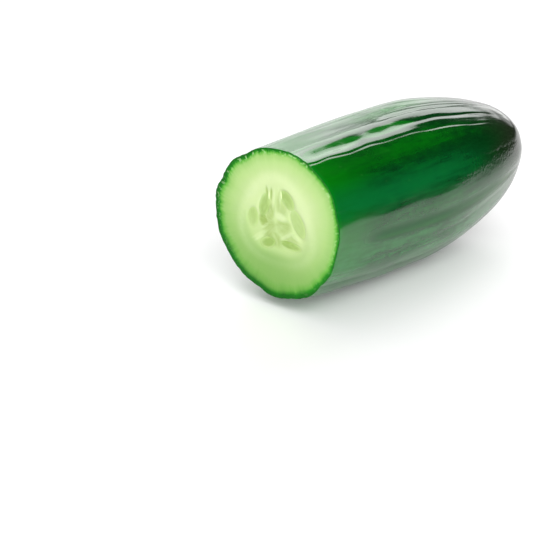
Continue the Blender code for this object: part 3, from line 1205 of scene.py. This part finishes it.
# painted shade: towards the lower side the green under the peel reaches further in, and is less
# ragged
ragged = ragged * (1.0 - thick_side * 0.45)
depth = under_peel * (1.0 - thick_side * 0.55) + ragged - 0.35 + thin_side * 0.8
flesh_green = flesh_finish.ramp(depth * 0.1, FLESH_GREENS)
near_peel = (1.0 - under_peel.blend(1.2, 2.4)) * under_peel.blend(0.4, 0.7)
torn = near_peel * flesh_finish.noise(grown, 1.2 * MM, 3.0).blend(0.54, 0.62)
# no torn pale flecks in the painted shade of the lower side
torn = torn * (1.0 - thick_side)
flesh_green = flesh_finish.mix(torn * 0.5, flesh_green, TORN_PALE)
# painted shade: the lower side of the cut is darkened to a deeper green
low_shade = thick_side * thick_side * under_peel.blend(1.0, 3.0) * (1.0 - in_core * 0.7)
flesh_green = flesh_finish.mix(low_shade * 0.76, flesh_green, LOW_SHADE_GREEN)

# %% The core, and the wet surface
paler = flesh_finish.mix(in_core * 0.4, flesh_green, CORE_PALE)
fibres = flesh_finish.noise(drawn_in, 1.8 * MM, 2.0).blend(0.3, 0.7)
olive = flesh_finish.mix(jelly * (0.55 + fibres * 0.3 + fine * 0.4), paler, JELLY_OLIVE)
colour = flesh_finish.mix(threads * (0.5 + fine * 0.8), olive, THREAD_PALE)
flesh_finish.wear(
    [flesh],
    Base_Color=colour,
    Roughness=0.32 + cloud * 0.2,
    Normal=flesh_finish.bump(cloud + rays + fine, 0.04 * MM),
    Specular_IOR_Level=0.15,
    Subsurface_Weight=0.25,
    Subsurface_Radius=(1.0, 1.0, 0.5),
    Subsurface_Scale=0.6 * MM,
)

# %% [markdown]
# ## The finishes of the small pieces
# A young seed is as moist as the flesh and only a little darker, with streaks along it.
# A torn piece of its coat is pale, and its colour is made paler still as a painted glint, so it
# shows as a bright line. The scar is dry brown cork with no gloss at all.

# %% Seed finish
SEED_PALE = (0.640, 0.840, 0.350)
SEED_OLIVE = (0.370, 0.560, 0.140)

seed_finish = Finish("seed")
kernel = seed_finish.stored("kernel")
grown = seed_finish.stored("grown", "Vector")
cloud = seed_finish.noise(grown, 2.2 * MM, 2.0)
grain = seed_finish.noise(seed_finish.stretched(grown, (0.3, 1.0, 1.0)), 0.8 * MM, 2.0)
streaked = kernel * (0.6 + cloud * 0.5 + grain.blend(0.3, 0.7) * 0.3)
seed_finish.wear(
    seeds,
    Base_Color=seed_finish.mix(streaked, SEED_PALE, SEED_OLIVE),
    Roughness=0.30 + cloud * 0.1,
    Specular_IOR_Level=0.2,
    Subsurface_Weight=0.3,
    Subsurface_Radius=(1.0, 1.0, 0.5),
    Subsurface_Scale=1.0 * MM,
)

# %% Finish of the slivers
# The pale colour of the coat, made paler as a painted glint of its wet edge
COAT_PALE_AND_GLINT = (0.84, 0.97, 0.56)

coat_finish = Finish("seed_coat")
coat_finish.wear(slivers, Base_Color=COAT_PALE_AND_GLINT, Roughness=0.35, Specular_IOR_Level=0.3)

# %% Scar finish
CORK_DARK = (0.09, 0.08, 0.03)
CORK_LIGHT = (0.28, 0.26, 0.12)

scar_finish = Finish("stalk_scar")
cork = scar_finish.noise(scar_finish.stored("grown", "Vector"), 0.6 * MM, 4.0)
scar_finish.wear(
    [scar],
    Base_Color=scar_finish.mix(cork.blend(0.35, 0.65), CORK_DARK, CORK_LIGHT),
    Roughness=0.85,
    Normal=scar_finish.bump(cork, 0.1 * MM),
)

# %% [markdown]
# ## The finish of the table
# The table is a white light table, lit from below as well, as for photographs that need
# a pure white ground. So the shadow under the body stays a soft grey. A brighter lamp
# overhead could whiten it too, but it would also burn out the crown of the body.

# %% Table finish
TABLE_WHITE = (0.90, 0.90, 0.90)
TABLE_GLOW = 0.13

table_finish = Finish("table_top")
table_finish.wear(
    [table_top],
    Base_Color=TABLE_WHITE,
    Roughness=0.6,
    Emission_Color=(1.0, 1.0, 1.0),
    Emission_Strength=TABLE_GLOW,
)

# %% [markdown]
# ## Handing the pieces over
# Each piece moves with the one body of this part and stands in for the measured solid, which is
# then hidden.

# %% What each piece stands for
dressed = [(peel, "skin"), (flesh, "flesh"), (scar, "scar")]
dressed += [(seed, "seed") for seed in seeds + slivers]
for piece, slot in dressed:
    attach(piece, "root")
    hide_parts("cucumber")
print(len(dressed), "pieces")
